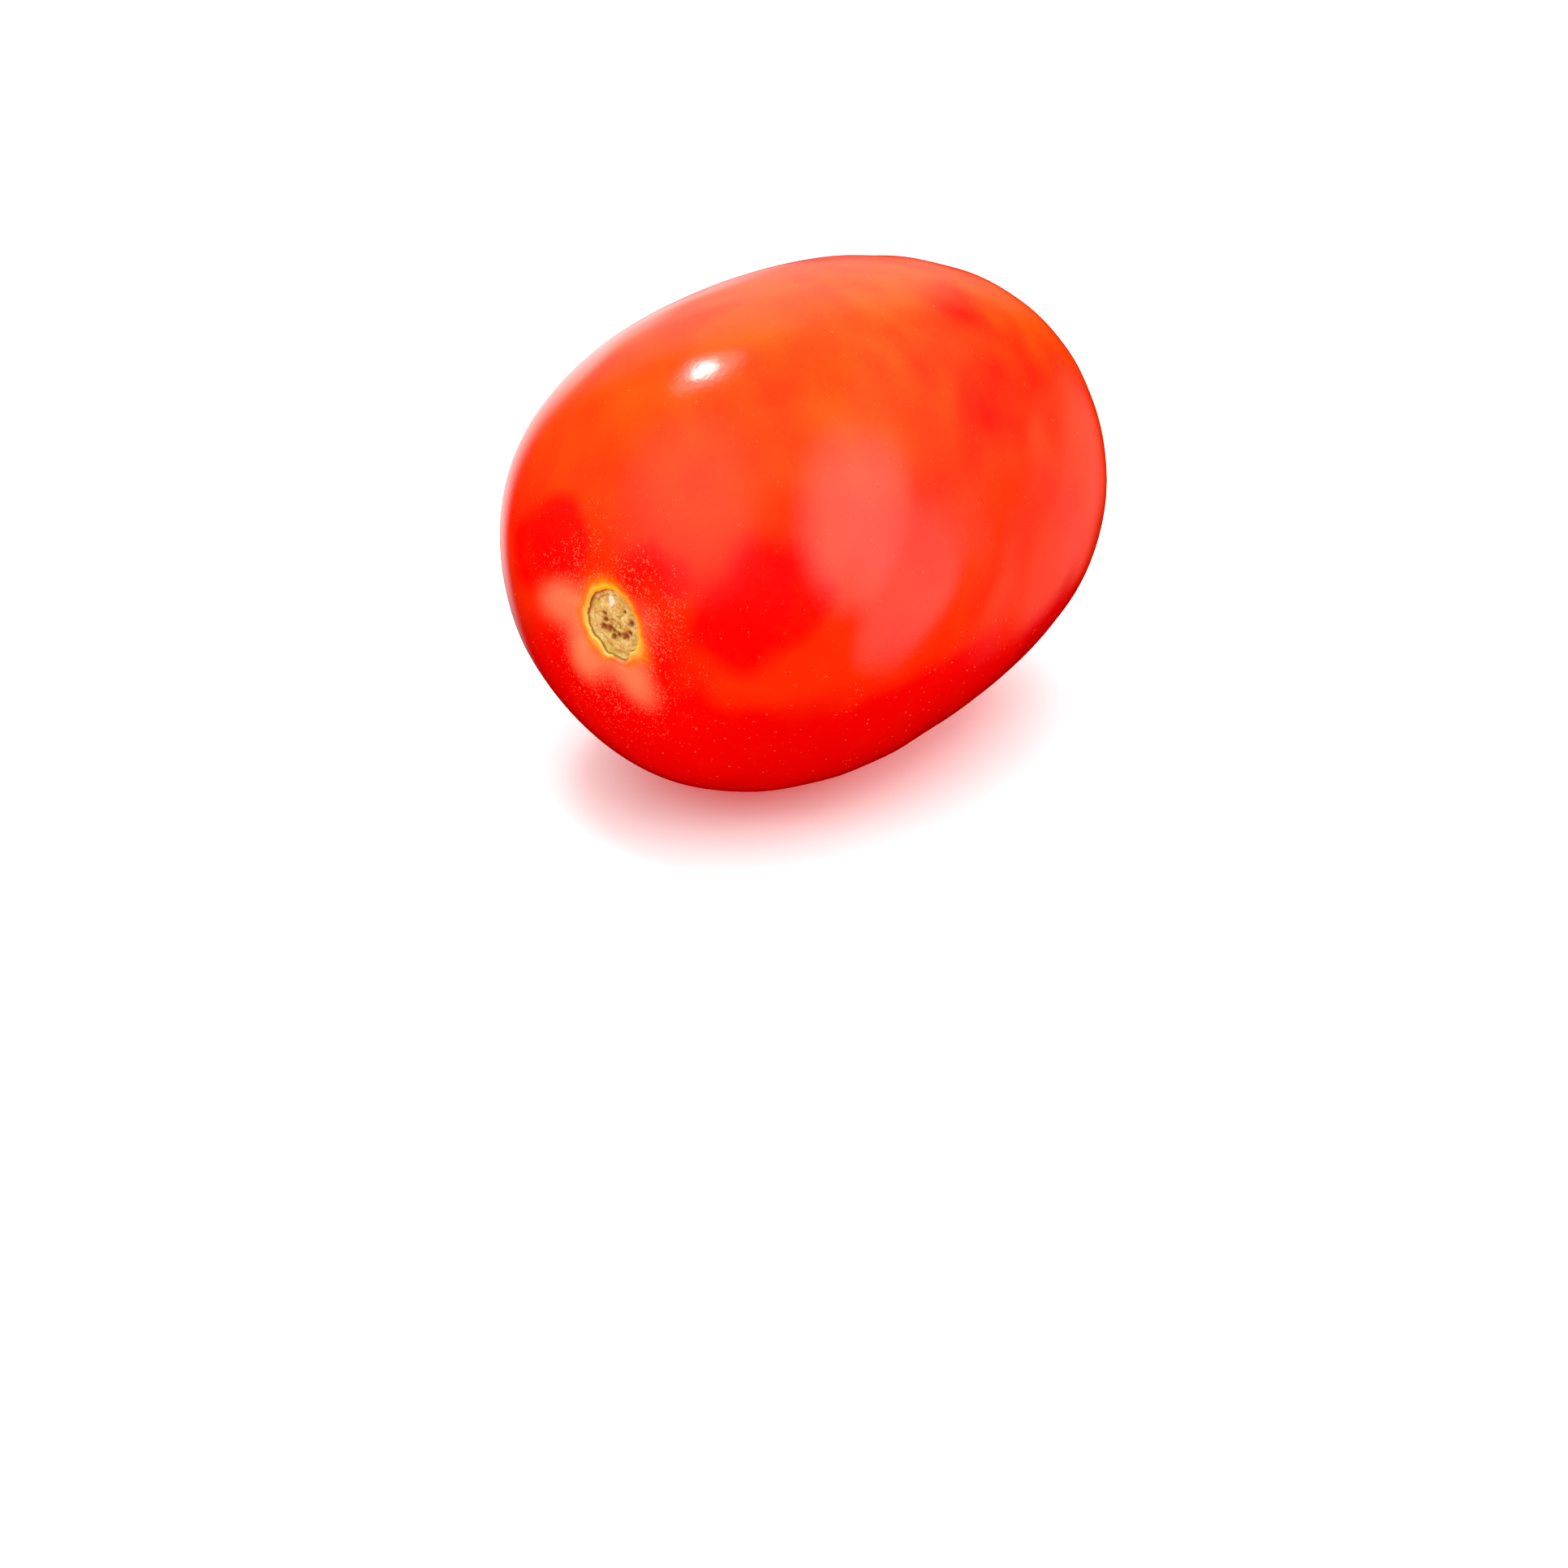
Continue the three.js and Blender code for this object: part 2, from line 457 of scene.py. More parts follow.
@dataclass(frozen=True)
class RipeningAndShade:
    """How the colour of the skin varies over the fruit, in millimetres and degrees, with painted
    shade that turns the lower side deep red.

    Attributes:
        painted_shade_top: Height above the core line from which the skin is orange; below it the
            lower side is painted deep red as shade.
        painted_shade_bottom: Height above the core line up to which the skin is painted deep red
            as shade.
        blush: How red the orange skin is on average, from 0 to 1.
        deep_patches: Patches of deep red, laid over each other in order.
        faint_patches: Patches that are a little redder or a little more orange.
        sepals: The pale marks of the sepals.
        halo_width: How wide the yellow ring round the scar is.
        halo_bumps: Where the ring is wider.
        halo_gaps: Where the ring is fainter, as shares.
        speckle_bands: Where fine specks gather round the scar.
        stray_most: How many coarse specks the belly has, from 0 to 1.
        stray_least: How many more of them there are everywhere.
    """

    painted_shade_top: float = -4.5
    painted_shade_bottom: float = -9.5
    blush: float = 0.30
    deep_patches: tuple[RedPatch, ...] = (
        RedPatch((-6.5, 2.0, 34.0), 14.0, 0.97),
        RedPatch((5.2, 3.2, 34.4), 4.2, -0.75),
        RedPatch((5.0, -15.0, 31.0), 6.4),
        RedPatch((1.4, -12.4, 32.4), 5.8, 0.95),
        RedPatch((3.4, -17.8, 29.2), 4.0, 0.75),
        RedPatch((5.9, -2.4, 34.0), 3.2),
        RedPatch((5.2, -5.6, 34.0), 2.8, 0.8),
        RedPatch((4.6, 9.0, 33.2), 3.6, 0.9),
        RedPatch((1.5, 12.5, 32.0), 4.2, 0.85),
    )
    faint_patches: tuple[RedPatch, ...] = (
        RedPatch((19.3, -17.8, -5.8), 12.0, 0.38),
        RedPatch((17.5, -19.9, 11.0), 8.0, 0.15),
        RedPatch((19.6, -9.9, 25.5), 7.0, 0.18),
        RedPatch((-2.5, -25.0, -5.0), 9.0, -0.30),
        RedPatch((-1.0, -25.0, 9.0), 7.0, -0.16),
        RedPatch((14.3, 6.0, 31.2), 6.0, -0.18),
        RedPatch((5.0, -21.0, -20.0), 9.0, -0.30),
    )
    sepals: tuple[SepalMark, ...] = (
        SepalMark(76.0, 20.0, 12.0, 2.8, 0.80),
        SepalMark(140.0, 8.0, 9.6, 2.8, 0.95),
        SepalMark(203.0, 6.0, 10.8, 2.5, 0.95),
        SepalMark(290.0, -4.0, 7.6, 3.2, 0.42),
    )
    halo_width: float = 0.66
    halo_bumps: tuple[Bump, ...] = (
        Bump(92.0, 0.30, 22.0),
        Bump(148.0, 0.55, 24.0),
        Bump(236.0, 0.80, 20.0),
        Bump(20.0, 0.50, 40.0),
    )
    halo_gaps: tuple[Bump, ...] = (
        Bump(196.0, 0.75, 16.0),
        Bump(310.0, 0.22, 45.0),
        Bump(60.0, 0.12, 20.0),
    )
    speckle_bands: tuple[SpeckleBand, ...] = (
        SpeckleBand(Bump(0.0, 0.40, math.inf), 5.0, 3.8),
        SpeckleBand(Bump(285.0, 0.75, 55.0), 5.2, 2.6),
        SpeckleBand(Bump(185.0, 0.60, 40.0), 8.0, 3.6),
        SpeckleBand(Bump(45.0, 0.30, 22.0), 7.0, 2.6),
    )
    stray_most: float = 0.45
    stray_least: float = 0.015

    def redness_and_shade(self, places: Array) -> Array:
        """Where the skin is deep red and not orange, from 0 to 1: painted shade on the lower side,
        with the redder patches and the blush laid over it.

        Args:
            places: Points of the straight fruit, one a row.

        Returns:
            One share for each point.
        """
        wander = Ripple(16.0, 0.8, 11).at(places) + Ripple(6.0, 0.4, 12).at(places)
        # painted shade: the lower side of the fruit is painted deep red, away from the light
        deep = 1.0 - smoothstep(places[:, 0] + wander, self.painted_shade_bottom, self.painted_shade_top)
        for patch in self.deep_patches:
            share = patch.strength * patch.share(places, wander)
            deep = np.where(share > 0.0, deep + share * (1.0 - deep), deep * (1.0 + share))
        blush = self.blush + Ripple(14.0, 0.09, 13).at(places) + Ripple(6.0, 0.05, 14).at(places)
        for patch in self.faint_patches:
            blush = blush + patch.strength * patch.share(places, 2.0 * wander)
        return 1.0 - (1.0 - deep) * (1.0 - np.clip(blush, 0.0, 1.0))

    def paleness(self, angle: Array, reach: Array) -> Array:
        """The sepal marks together.

        Args:
            angle: Angles round the scar's middle, in radians.
            reach: Distances from the scar's middle.

        Returns:
            One share for each point.
        """
        marks = [mark.mask(angle, reach) for mark in self.sepals]
        return np.clip(np.sum(marks, axis=0), 0.0, 1.0)

    def halo(self, angle: Array, gap: Array) -> Array:
        """The yellow ring round the scar, which is wider in some places.

        Args:
            angle: Angles round the scar's middle, in radians.
            gap: Distances outside the scar's edge.

        Returns:
            One share for each point.
        """
        width = self.halo_width + sum(bump.at(angle) for bump in self.halo_bumps)
        strength = 1.0 - sum(thin.at(angle) for thin in self.halo_gaps)
        return strength * np.exp(-((np.clip(gap, 0.0, None) / width) ** 1.25))

    def speckle(self, places: Array, angle: Array, reach: Array) -> tuple[Array, Array]:
        """How many pale specks the skin has: fine ones round the scar, coarse ones elsewhere.

        Args:
            places: Points of the straight fruit, one a row.
            angle: Angles round the scar's middle, in radians.
            reach: Distances from the scar's middle.

        Returns:
            Two shares for each point, from 0 to 1.
        """
        fine = sum(band.share(angle, reach) for band in self.speckle_bands)
        patchy = 1.0 + Ripple(3.5, 0.30, 21).at(places)
        belly = 1.0 - smoothstep(places[:, 0], -9.0, -1.0)
        coarse = self.stray_most * belly + self.stray_least
        return np.clip(fine * patchy, 0.0, 1.0), coarse


class RingMesh:
    """Collects rings of points from pole to pole and joins them into one closed mesh."""

    def __init__(self) -> None:
        """Starts with no rings."""
        self.polar: list[Array] = []
        self.turn: list[Array] = []
        self.starts: list[int] = []
        self.counts: list[int] = []
        self.total = 0

    def add_ring(self, polar: Array, turn: Array) -> None:
        """Adds one ring, or a pole if it has a single point.

        Args:
            polar: Angles from the stem end, in radians.
            turn: Angles round the core, in radians.
        """
        self.polar.append(polar)
        self.turn.append(turn)
        self.starts.append(self.total)
        self.counts.append(len(polar))
        self.total += len(polar)

    def faces(self) -> list[tuple[int, ...]]:
        """Joins the rings.

        Returns:
            Faces that point out, as corner numbers.
        """
        found: list[tuple[int, ...]] = []
        for ring in range(len(self.counts) - 1):
            found += self._band(ring)
        return found

    def _band(self, ring: int) -> list[tuple[int, ...]]:
        """Joins a ring and the next one, which has as many points, twice or half as many.

        Args:
            ring: The number of the ring nearer the stem.

        Returns:
            The faces between the two.
        """
        upper, lower = self.starts[ring], self.starts[ring + 1]
        many, more = self.counts[ring], self.counts[ring + 1]
        if many == 1:
            return [(upper, lower + j, lower + (j + 1) % more) for j in range(more)]
        if more == 1:
            return [(lower, upper + (j + 1) % many, upper + j) for j in range(many)]
        if many == more:
            return [
                (upper + j, lower + j, lower + (j + 1) % many, upper + (j + 1) % many)
                for j in range(many)
            ]
        found: list[tuple[int, ...]] = []
        for j in range(min(many, more)):
            if more == 2 * many:
                near, after = upper + j, upper + (j + 1) % many
                far = [lower + (2 * j + k) % more for k in range(3)]
                found += [(near, far[0], far[1]), (near, far[1], after), (after, far[1], far[2])]
            else:
                near, after = lower + j, lower + (j + 1) % more
                far = [upper + (2 * j + k) % many for k in range(3)]
                found += [(near, far[1], far[0]), (near, after, far[1]), (after, far[2], far[1])]
        return found


class Signal:
    """A shader socket that takes part in Python expressions."""

    def __init__(self, shader: "Shader", socket: bpy.types.NodeSocket) -> None:
        """Wraps an output socket."""
        self.shader = shader
        self.socket = socket

    def __add__(self, other: "Number") -> "Signal":
        """Self plus other."""
        return self.shader.math("ADD", self, other)

    __radd__ = __add__

    def __sub__(self, other: "Number") -> "Signal":
        """Self minus other."""
        return self.shader.math("SUBTRACT", self, other)

    def __rsub__(self, other: "Number") -> "Signal":
        """Other minus self."""
        return self.shader.math("SUBTRACT", other, self)

    def __mul__(self, other: "Number") -> "Signal":
        """Self times other."""
        return self.shader.math("MULTIPLY", self, other)

    __rmul__ = __mul__


Number = Signal | float
Tint = Signal | Colour


class Shader:
    """Builds a node tree from expressions on single numbers, and from nodes."""

    def __init__(self, tree: bpy.types.NodeTree) -> None:
        """Empties the tree."""
        self.tree = tree
        tree.nodes.clear()

    def _make(
        self,
        kind: str,
        settings: Mapping[str, object] | None,
        inputs: Mapping[str | int, object] | None,
    ) -> bpy.types.Node:
        """Makes any node.

        Args:
            kind: The node's type, without the word ShaderNode.
            settings: Values of the node itself, set first.
            inputs: Values or signals of its input sockets, by name or number.

        Returns:
            The node.
        """
        made = self.tree.nodes.new("ShaderNode" + kind)
        for key, value in (settings or {}).items():
            setattr(made, key, value)
        for key, value in (inputs or {}).items():
            socket = made.inputs[key]
            if isinstance(value, Signal):
                self.tree.links.new(value.socket, socket)
            elif socket.type == "RGBA" and len(value) == 3:
                socket.default_value = (*value, 1.0)
            else:
                socket.default_value = value
        return made

    def node(
        self,
        kind: str,
        settings: Mapping[str, object] | None = None,
        inputs: Mapping[str | int, object] | None = None,
        output: str | int = 0,
    ) -> Signal:
        """Adds any node that has an output.

        Args:
            kind: The node's type, without the word ShaderNode.
            settings: Values of the node itself, set first.
            inputs: Values or signals of its input sockets, by name or number.
            output: The output socket to hand back.

        Returns:
            That output.
        """
        return Signal(self, self._make(kind, settings, inputs).outputs[output])

    def finish(self, kind: str, surface: Signal) -> None:
        """Adds the output node of a kind and gives it the surface."""
        self._make(kind, {}, {"Surface": surface})

    def math(self, operation: str, first: Number, second: Number) -> Signal:
        """Adds one step of arithmetic on numbers."""
        return self.node("Math", {"operation": operation}, {0: first, 1: second})

    def attribute(self, name: str) -> Signal:
        """Reads a number that the mesh holds."""
        return self.node("Attribute", {"attribute_name": name}, output="Fac")

    def vector(self, name: str) -> Signal:
        """Reads a vector that the mesh holds."""
        return self.node("Attribute", {"attribute_name": name}, output="Vector")

    def part(self, whole: Signal, name: str) -> Signal:
        """One of the numbers X, Y and Z of a vector."""
        return self.node("SeparateXYZ", {}, {"Vector": whole}, name)

    def ease(self, value: Number, low: float, high: float) -> Signal:
        """Goes smoothly from 0 at low to 1 at high.

        Args:
            value: What is measured.
            low: Where it is 0.
            high: Where it is 1, which may be below low.

        Returns:
            A share from 0 to 1.
        """
        if low > high:
            return 1.0 - self.ease(value, high, low)
        ends = {"Value": value, "From Min": low, "From Max": high}
        return self.node("MapRange", {"interpolation_type": "SMOOTHSTEP"}, ends)

    def mix(self, share: Number, start: Tint, end: Tint) -> Signal:
        """Goes from one colour to another."""
        return self.node("Mix", {"data_type": "RGBA"}, {0: share, 6: start, 7: end}, output=2)

    def noise(self, place: Signal, size: float, detail: float = 2.0) -> Signal:
        """Soft noise from about 0 to 1 whose blotches are about size across."""
        return self.node("TexNoise", {}, {"Vector": place, "Scale": 1.0 / size, "Detail": detail})

    def cells(self, place: Signal, size: float, output: str) -> Signal:
        """Distance to the nearest of many scattered points, or that point's random colour."""
        return self.node("TexVoronoi", {}, {"Vector": place, "Scale": 1.0 / size}, output)


class Speck(Enum):
    """The kinds of pale specks.

    Attributes:
        wanted: The name under which the mesh holds how many there are.
        size: Millimetres from one possible speck to the next, about.
        radius: How wide a speck is, as a share of that.
        strength: How pale it is, from 0 to 1.
    """

    DUST = ("speckle", 0.24, 0.28, 0.52)
    GRAIN = ("speckle", 0.40, 0.20, 0.50)
    STRAY = ("stray", 0.85, 0.11, 0.75)

    def __init__(self, wanted: str, size: float, radius: float, strength: float) -> None:
        """Names the four values.

        Args:
            wanted: The name of the mesh's values.
            size: The spacing.
            radius: The share of the spacing.
            strength: The paleness.
        """
        self.wanted = wanted
        self.size = size
        self.radius = radius
        self.strength = strength

    def dots(self, shader: Shader, place: Signal) -> Signal:
        """Adds its nodes.

        Args:
            shader: The finish's node tree.
            place: Points of the straight fruit, in millimetres.

        Returns:
            How strong a speck is at each point.
        """
        away = shader.cells(place, self.size, "Distance")
        colour = shader.cells(place, self.size, "Color")
        chance = shader.node("SeparateColor", {}, {"Color": colour}, "Red")
        dot = shader.ease(away, self.radius * 1.4, self.radius * 0.6)
        there = shader.ease(shader.attribute(self.wanted) - chance, -0.05, 0.05)
        return dot * there * self.strength


@dataclass(frozen=True)
class RipeSkinAndPaintedLight:
    """The skin from orange to deep red, with the pale marks at the stem and the corky scar; its
    uppermost side is paler with painted light and its lower side deep red with painted shade.

    Attributes:
        painted_light_top: Paler orange on the side that lies uppermost: painted light where the
            light falls on the top.
        orange: The rest of the orange skin.
        red: The deep red skin, which is also the painted shade on the lower side.
        peach: The skin that the sepals shaded.
        halo_orange: The outside of the ring round the scar.
        halo_yellow: The inside of the ring.
        halo_cream: The inside of the ring where a sepal shaded it.
        speck: The pale specks.
        cork_light: The raised grain of the cork.
        cork_dark: The cork between the grain.
        cork_edge: The brown line round the cork, and the blossom tip.
        moss: The greenish cork in the middle.
        pit: The hollows in the cork.
        flake: The loose splinter.
        cloud_size: Millimetres across the soft mottling of the skin.
        cloud_strength: How strong the mottling is.
        grain_size: Millimetres across the fine mottling.
        grain_strength: How strong the fine mottling is.
        roughness: The roughness of the skin's wax.
        roughness_spread: How much rougher it is in places.
        speck_roughness: How much rougher a speck is.
        cork_roughness: The roughness of the cork.
        peel_size: Millimetres across the finest unevenness of the skin.
        peel_height: Its height in millimetres.
        speck_height: Height of a speck in millimetres.
        refraction: The index of refraction of the wax.
    """

    painted_light_top: Colour = (0.96, 0.092, 0.004)
    orange: Colour = (0.94, 0.042, 0.002)
    red: Colour = (0.88, 0.0008, 0.0004)
    peach: Colour = (0.98, 0.30, 0.12)
    halo_orange: Colour = (1.0, 0.20, 0.004)
    halo_yellow: Colour = (1.0, 0.58, 0.008)
    halo_cream: Colour = (1.0, 0.72, 0.20)
    speck: Colour = (1.0, 0.34, 0.16)
    cork_light: Colour = (0.78, 0.65, 0.23)
    cork_dark: Colour = (0.54, 0.37, 0.060)
    cork_edge: Colour = (0.22, 0.068, 0.006)
    moss: Colour = (0.22, 0.16, 0.015)
    pit: Colour = (0.27, 0.060, 0.004)
    flake: Colour = (0.94, 0.86, 0.66)
    cloud_size: float = 4.0
    cloud_strength: float = 0.45
    grain_size: float = 0.8
    grain_strength: float = 0.16
    roughness: float = 0.125
    roughness_spread: float = 0.04
    speck_roughness: float = 0.10
    cork_roughness: float = 0.8
    peel_size: float = 0.45
    peel_height: float = 0.010
    speck_height: float = 0.012
    refraction: float = 1.48

    def material(self) -> bpy.types.Material:
        """Builds the material.

        Returns:
            The material, named for the finish.
        """
        made = bpy.data.materials.new("ripe_skin")
        made.use_nodes = True
        shader = Shader(made.node_tree)
        place = shader.vector("place")
        share = shader.attribute("scar_share")
        specks = self._specks(shader, place)
        ragged = (shader.noise(place, 0.25) - 0.5) * 0.03
        in_scar = shader.ease(share + ragged, 1.0, 0.985)
        on_skin = 1.0 - in_scar
        cork, cork_height = self._cork(shader, place, share)
        fine = shader.noise(place, 1.1, 3.0)
        wax = self.roughness + fine * self.roughness_spread + specks * self.speck_roughness
        peel = shader.noise(place, self.peel_size, 1.0) * self.peel_height
        height = (peel + specks * self.speck_height) * on_skin + cork_height * in_scar
        bump_inputs = {"Strength": 1.0, "Distance": MILLIMETRE, "Height": height}
        surface = shader.node(
            "BsdfPrincipled",
            {},
            {
                "Base Color": shader.mix(in_scar, self._skin(shader, place, specks), cork),
                "Roughness": wax * on_skin + in_scar * self.cork_roughness,
                "IOR": self.refraction,
                "Normal": shader.node("Bump", {}, bump_inputs),
            },
        )
        shader.finish("OutputMaterial", surface)
        return made

    @staticmethod
    def _specks(shader: Shader, place: Signal) -> Signal:
        """Small pale dots, more of them where the mesh says so.

        Args:
            shader: The finish's node tree.
            place: Points of the straight fruit, in millimetres.

        Returns:
            How strong a speck is at each point.
        """
        found: Number = 0.0
        for kind in Speck:
            found = shader.math("MAXIMUM", found, kind.dots(shader, place))
        return found

    def _skin(self, shader: Shader, place: Signal, specks: Signal) -> Signal:
        """Colour of the skin, with painted light that makes the uppermost side paler and painted
        shade that makes the lower side deep red.

        Args:
            shader: The finish's node tree.
            place: Points of the straight fruit, in millimetres.
            specks: How strong a speck is at each point.

        Returns:
            The colour.
        """
        cloud = (shader.noise(place, self.cloud_size, 4.0) - 0.5) * self.cloud_strength
        grain = (shader.noise(place, self.grain_size) - 0.5) * self.grain_strength
        # painted light: the skin turns paler orange towards the side that lies uppermost, where
        # the light falls on it
        painted_light_top = shader.ease(shader.part(place, "X") + cloud * 12.0, 6.0, 27.0)
        orange_with_painted_light = shader.mix(painted_light_top, self.orange, self.painted_light_top)
        # the red mask carries painted shade that makes the lower side deep red, as well as the
        # redder patches
        mottled = shader.attribute("red") + (cloud + grain) * 0.8
        redness_and_shade = shader.node("Clamp", {}, {"Value": mottled})
        colour = shader.mix(redness_and_shade, orange_with_painted_light, self.red)
        pale = shader.attribute("pale")
        colour = shader.mix(shader.ease(pale + cloud * 0.4, 0.08, 1.0) * 0.9, colour, self.peach)
        halo = shader.attribute("halo") + grain * 0.6
        colour = shader.mix(shader.ease(halo, 0.04, 0.55), colour, self.halo_orange)
        yellow = shader.mix(pale * 0.7, self.halo_yellow, self.halo_cream)
        colour = shader.mix(shader.ease(halo, 0.38, 0.92), colour, yellow)
        colour = shader.mix(specks, colour, self.speck)
        tip = shader.attribute("tip") + grain * 4.0
        colour = shader.mix(shader.ease(tip, 0.15, 0.50) * 0.6, colour, self.halo_orange)
        return shader.mix(shader.ease(tip, 0.50, 0.85), colour, self.cork_edge)

    def _cork(self, shader: Shader, place: Signal, share: Signal) -> tuple[Signal, Signal]:
        """Colour and height of the scar.

        Args:
            shader: The finish's node tree.
            place: Points of the straight fruit, in millimetres.
            share: Distances from the scar's middle as shares of the way to its edge.

        Returns:
            The colour, and the height in millimetres.
        """
        blotch = shader.noise(place, 0.9, 4.0)
        grain = shader.noise(place, 0.22, 3.0)
        light = shader.ease(blotch * 0.55 + grain * 0.45, 0.38, 0.62)
        colour = shader.mix(light, self.cork_dark, self.cork_light)
        middle = shader.ease(share, 0.62, 0.30)
        green = shader.ease(shader.noise(place, 0.35), 0.50, 0.62) * middle
        colour = shader.mix(green * 0.7, colour, self.moss)
        pit = shader.attribute("pit") + (grain - 0.5) * 1.3
        colour = shader.mix(shader.ease(pit, 0.12, 0.55) * 0.7, colour, self.cork_edge)
        colour = shader.mix(shader.ease(pit, 0.52, 0.90), colour, self.pit)
        colour = shader.mix(shader.ease(shader.attribute("flake"), 0.3, 0.7), colour, self.flake)
        wander = (blotch - 0.5) * 0.16
        off_groove = shader.math("ABSOLUTE", share + wander - 0.82, 0.0)
        broken = shader.ease(shader.noise(place, 1.6, 1.0), 0.44, 0.56)
        groove = shader.ease(off_groove, 0.022, 0.004) * broken
        colour = shader.mix(groove * 0.6, colour, self.cork_edge)
        edge = shader.ease(share + (grain - 0.5) * 0.05, 0.945, 0.98)
        colour = shader.mix(edge * 0.85, colour, self.cork_edge)
        return colour, grain * 0.05 + blotch * 0.04


@dataclass(frozen=True)
class Survey:
    """Where the points of the skin are, as seen from the scar.

    Attributes:
        places: Points of the straight fruit, one a row.
        across: Places from the scar's middle, two numbers a row.
        angle: Angles round the scar's middle, in radians.
        reach: Distances from the scar's middle, or FAR in the blossom half.
        gap: Distances outside the scar's edge.
        share: Distances from the middle as shares of the distance to the edge, or FAR.
        stem_half: True in the stem half.
        tip_reach: Distances from the blossom tip, or FAR in the stem half.
    """

    places: Array
    across: Array
    angle: Array
    reach: Array
    gap: Array
    share: Array
    stem_half: Array
    tip_reach: Array

    @classmethod
    def of(cls, places: Array, scar: StemScar) -> "Survey":
        """Surveys points of the straight fruit.

        Args:
            places: Points of the straight fruit, one a row.
            scar: The scar that they are seen from.

        Returns:
            The survey.
        """
        across = places[:, :2] - np.array(scar.middle)
        angle = np.arctan2(across[:, 1], across[:, 0])
        edge = scar.outline(angle)
        stem_half = places[:, 2] > 0.0
        reach = np.where(stem_half, np.linalg.norm(across, axis=1), FAR)
        share = np.where(stem_half, reach / edge, FAR)
        off_core = np.hypot(places[:, 0], places[:, 1])
        tip_reach = np.where(places[:, 2] < 0.0, off_core, FAR)
        return cls(places, across, angle, reach, reach - edge, share, stem_half, tip_reach)


@dataclass
class Tomato:
    """The whole fruit: its shape, its marks and its finish.

    Attributes:
        body: The barrel.
        scar: The stem scar.
        ripening_and_shade: How the colour varies, with painted shade on the lower side.
        skin: The finish.
        stem_lift: Degrees that the core rises towards the stem.
        rest_sag: Millimetres that the skin flattens where it rests.
        segments: Points in the widest rings.
        fewest_segments: Points in the narrowest rings.
        full_reach: Millimetres from the core to the narrowest ring with all its points.
        scar_rings: Rings from the scar's middle to its edge.
        collar_rings: Rings from there to collar_reach.
        body_rings: Rings from there to the blossom tip.
        collar_reach: Millimetres from the core to where the rings no longer follow the scar.
        tip_start: Polar angle, in radians, past which the rings may lose points again.
        name: Name of the piece.
        core: Where the middle of the core lies, in metres, once the fruit is built.
    """

    body: Body = field(default_factory=Body)
    scar: StemScar = field(default_factory=StemScar)
    ripening_and_shade: RipeningAndShade = field(default_factory=RipeningAndShade)
    skin: RipeSkinAndPaintedLight = field(default_factory=RipeSkinAndPaintedLight)
    stem_lift: float = 3.7
    rest_sag: float = 0.6
    segments: int = 256
    fewest_segments: int = 16
    full_reach: float = 1.9
    scar_rings: int = 40
    collar_rings: int = 40
    body_rings: int = 160
    collar_reach: float = 16.0
    tip_start: float = 2.0
    name: str = "plum_tomato"
    core: Vector = field(init=False, default_factory=Vector)

    def axes(self) -> Array:
        """Finds how the fruit lies.

        Returns:
            Columns that turn the fruit frame into the part frame, with the stem end raised.
        """
        lift = math.radians(self.stem_lift)
        top = np.array([0.0, math.sin(lift), math.cos(lift)])
        stem = np.array([0.0, -math.cos(lift), math.sin(lift)])
        return np.column_stack([top, np.cross(stem, top), stem])

    def grid(self) -> RingMesh:
        """Sets out rings that crowd together at the scar and at the blossom tip.

        Returns:
            The rings, from pole to pole.
        """
        mesh = RingMesh()
        mesh.add_ring(*self._stem_ring(0.0, 1))
        scar = np.linspace(0.0, self.scar.radius, self.scar_rings + 1)[1:]
        growth = np.linspace(0.0, 1.0, self.collar_rings + 1)[1:]
        span = self.collar_reach - self.scar.radius
        collar = self.scar.radius + span * (0.22 * growth + 0.78 * growth**2)
        for reach in np.concatenate([scar, collar]):
            mesh.add_ring(*self._stem_ring(reach, self._segments_at(reach)))
        start = math.asin(self.collar_reach / self.body.end_width)
        share = np.linspace(0.0, 1.0, self.body_rings + 1)[1:-1]
        share = share + 0.10 * np.sin(math.pi * share) ** 2 * share
        for polar in start + (math.pi - start) * share:
            near_tip = polar > self.tip_start
            reach = 1.3 * self.body.end_width * math.sin(polar) if near_tip else self.collar_reach
            mesh.add_ring(*self._plain_ring(polar, self._segments_at(reach)))
        mesh.add_ring(np.array([math.pi]), np.array([0.0]))
        return mesh

    def _segments_at(self, reach: float) -> int:
        """Halves the number of points each time that a ring is half as wide.

        Args:
            reach: Millimetres from the core to the ring.

        Returns:
            How many points the ring has.
        """
        count = self.segments
        while count > self.fewest_segments and reach < self.full_reach * count / self.segments:
            count //= 2
        return count

    @staticmethod
    def _plain_ring(polar: float, count: int) -> tuple[Array, Array]:
        """A ring round the core at one polar angle."""
        return np.full(count, polar), 2.0 * math.pi * np.arange(count) / count

    def _stem_ring(self, reach: float, count: int) -> tuple[Array, Array]:
        """A ring round the scar that follows its edge and eases into a ring round the core.

        Args:
            reach: How far out the ring is, in millimetres.
            count: How many points it has.

        Returns:
            Polar angles and turns round the core.
        """
        angle = 2.0 * math.pi * np.arange(count) / count
        ease = 1.0 - smoothstep(np.array(reach), 4.5, 9.0)
        scale = 1.0 + (self.scar.outline(angle) / self.scar.radius - 1.0) * ease
        shift = 1.0 - smoothstep(np.array(reach), 4.0, self.collar_reach)
        x = self.scar.middle[0] * shift + reach * scale * np.cos(angle)
        y = self.scar.middle[1] * shift + reach * scale * np.sin(angle)
        polar = np.arcsin(np.hypot(x, y) / self.body.end_width)
        return polar, np.arctan2(y, x)

